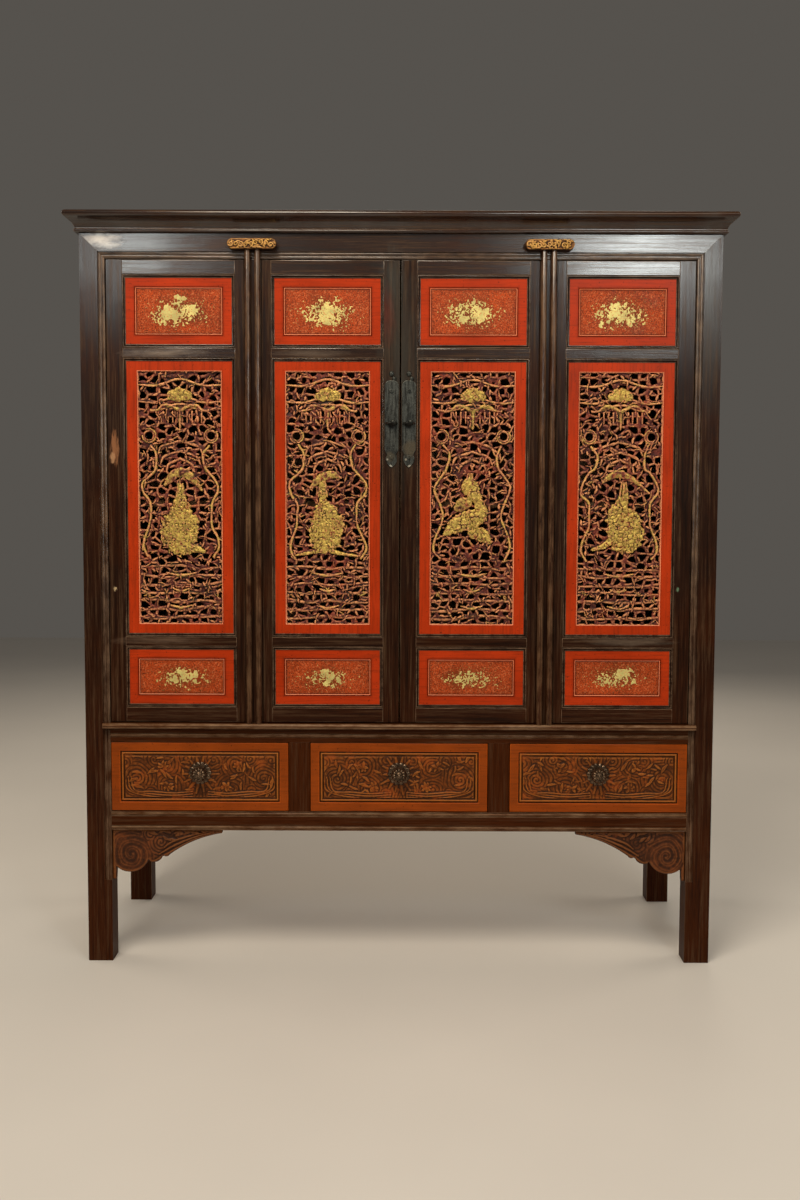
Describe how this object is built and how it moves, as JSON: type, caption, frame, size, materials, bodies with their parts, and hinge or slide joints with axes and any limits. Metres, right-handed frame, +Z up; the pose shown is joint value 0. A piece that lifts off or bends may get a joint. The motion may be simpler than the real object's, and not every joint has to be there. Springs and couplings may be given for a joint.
{
  "type": "wedding cabinet",
  "caption": "Tall lacquered wedding cabinet: four pivoting door leaves with pierced panels above drawers, moulded cornice and corner brackets.",
  "frame": {"origin": "on the floor, under the middle of the bounding box", "axes": "+Z up, +X to the right seen from the front, the doors and drawers face -Y"},
  "size_m": [1.492, 0.55, 1.7],
  "materials": {
    "black_lacquer": "worn black-brown lacquer",
    "brown_lacquer": "worn red-brown lacquer",
    "inside_wood": "unfinished timber",
    "red_lacquer": "vermilion lacquer with painted gilding",
    "fretwork": "carved and part gilded",
    "gilt_carving": "worn gilding",
    "drawer_frame": "worn orange-brown lacquer",
    "drawer_carving": "carved, dark with orange traces",
    "bracket": "carved brown wood",
    "iron": "forged, dark patina",
    "bronze": "dark bronze"
  },
  "bodies": {
    "cabinet": {"post_front_left": "black_lacquer", "post_front_right": "black_lacquer", "post_rear_left": "black_lacquer", "post_rear_right": "black_lacquer", "top_rail_front": "black_lacquer", "mullions": "black_lacquer", "side_rails_left": "black_lacquer", "side_rails_right": "black_lacquer", "side_panels_left": "black_lacquer", "side_panels_right": "black_lacquer", "cornice_front": "black_lacquer", "cornice_sides": "black_lacquer", "cornice_rear": "black_lacquer", "waist_rail_front": "brown_lacquer", "bottom_rail_front": "brown_lacquer", "back_rails": "inside_wood", "back_panels": "inside_wood", "cupboard_floor": "inside_wood", "shelf": "inside_wood", "shelf_battens": "inside_wood", "drawer_runners": "inside_wood", "top_panel": "inside_wood", "drawer_dividers": "drawer_frame", "bracket_left": "bracket", "bracket_right": "bracket", "pivot_lugs": "gilt_carving"},
    "outer_left_door": {"outer_left_door_stiles": "black_lacquer", "outer_left_door_rails": "black_lacquer", "outer_left_door_panels": "red_lacquer", "outer_left_door_fret_frame": "red_lacquer", "outer_left_door_fretwork": "fretwork"},
    "inner_left_door": {"inner_left_door_stiles": "black_lacquer", "inner_left_door_rails": "black_lacquer", "inner_left_door_panels": "red_lacquer", "inner_left_door_fret_frame": "red_lacquer", "inner_left_door_fretwork": "fretwork", "lock_plate_left": "iron"},
    "inner_right_door": {"inner_right_door_stiles": "black_lacquer", "inner_right_door_rails": "black_lacquer", "inner_right_door_panels": "red_lacquer", "inner_right_door_fret_frame": "red_lacquer", "inner_right_door_fretwork": "fretwork", "lock_plate_right": "iron"},
    "outer_right_door": {"outer_right_door_stiles": "black_lacquer", "outer_right_door_rails": "black_lacquer", "outer_right_door_panels": "red_lacquer", "outer_right_door_fret_frame": "red_lacquer", "outer_right_door_fretwork": "fretwork"},
    "left_drawer": {"left_drawer_front": "drawer_frame", "left_drawer_carving": "drawer_carving", "left_drawer_box": "inside_wood", "left_drawer_knob": "bronze"},
    "middle_drawer": {"middle_drawer_front": "drawer_frame", "middle_drawer_carving": "drawer_carving", "middle_drawer_box": "inside_wood", "middle_drawer_knob": "bronze"},
    "right_drawer": {"right_drawer_front": "drawer_frame", "right_drawer_carving": "drawer_carving", "right_drawer_box": "inside_wood", "right_drawer_knob": "bronze"}
  },
  "joints": [
    {"name": "outer_left_door_swing", "type": "hinge", "parent": "cabinet", "child": "outer_left_door", "pos_m": [-0.34075, -0.2515, 1.0777], "axis": [0, 0, 1], "range_deg": [0, 90]},
    {"name": "inner_left_door_swing", "type": "hinge", "parent": "cabinet", "child": "inner_left_door", "pos_m": [-0.31875, -0.2515, 1.0777], "axis": [0, 0, -1], "range_deg": [0, 90]},
    {"name": "inner_right_door_swing", "type": "hinge", "parent": "cabinet", "child": "inner_right_door", "pos_m": [0.31875, -0.2515, 1.0777], "axis": [0, 0, 1], "range_deg": [0, 90]},
    {"name": "outer_right_door_swing", "type": "hinge", "parent": "cabinet", "child": "outer_right_door", "pos_m": [0.34075, -0.2515, 1.0777], "axis": [0, 0, -1], "range_deg": [0, 90]},
    {"name": "left_drawer_slide", "type": "slide", "parent": "cabinet", "child": "left_drawer", "axis": [0, -1, 0], "range_m": [0, 0.32]},
    {"name": "middle_drawer_slide", "type": "slide", "parent": "cabinet", "child": "middle_drawer", "axis": [0, -1, 0], "range_m": [0, 0.32]},
    {"name": "right_drawer_slide", "type": "slide", "parent": "cabinet", "child": "right_drawer", "axis": [0, -1, 0], "range_m": [0, 0.32]}
  ]
}
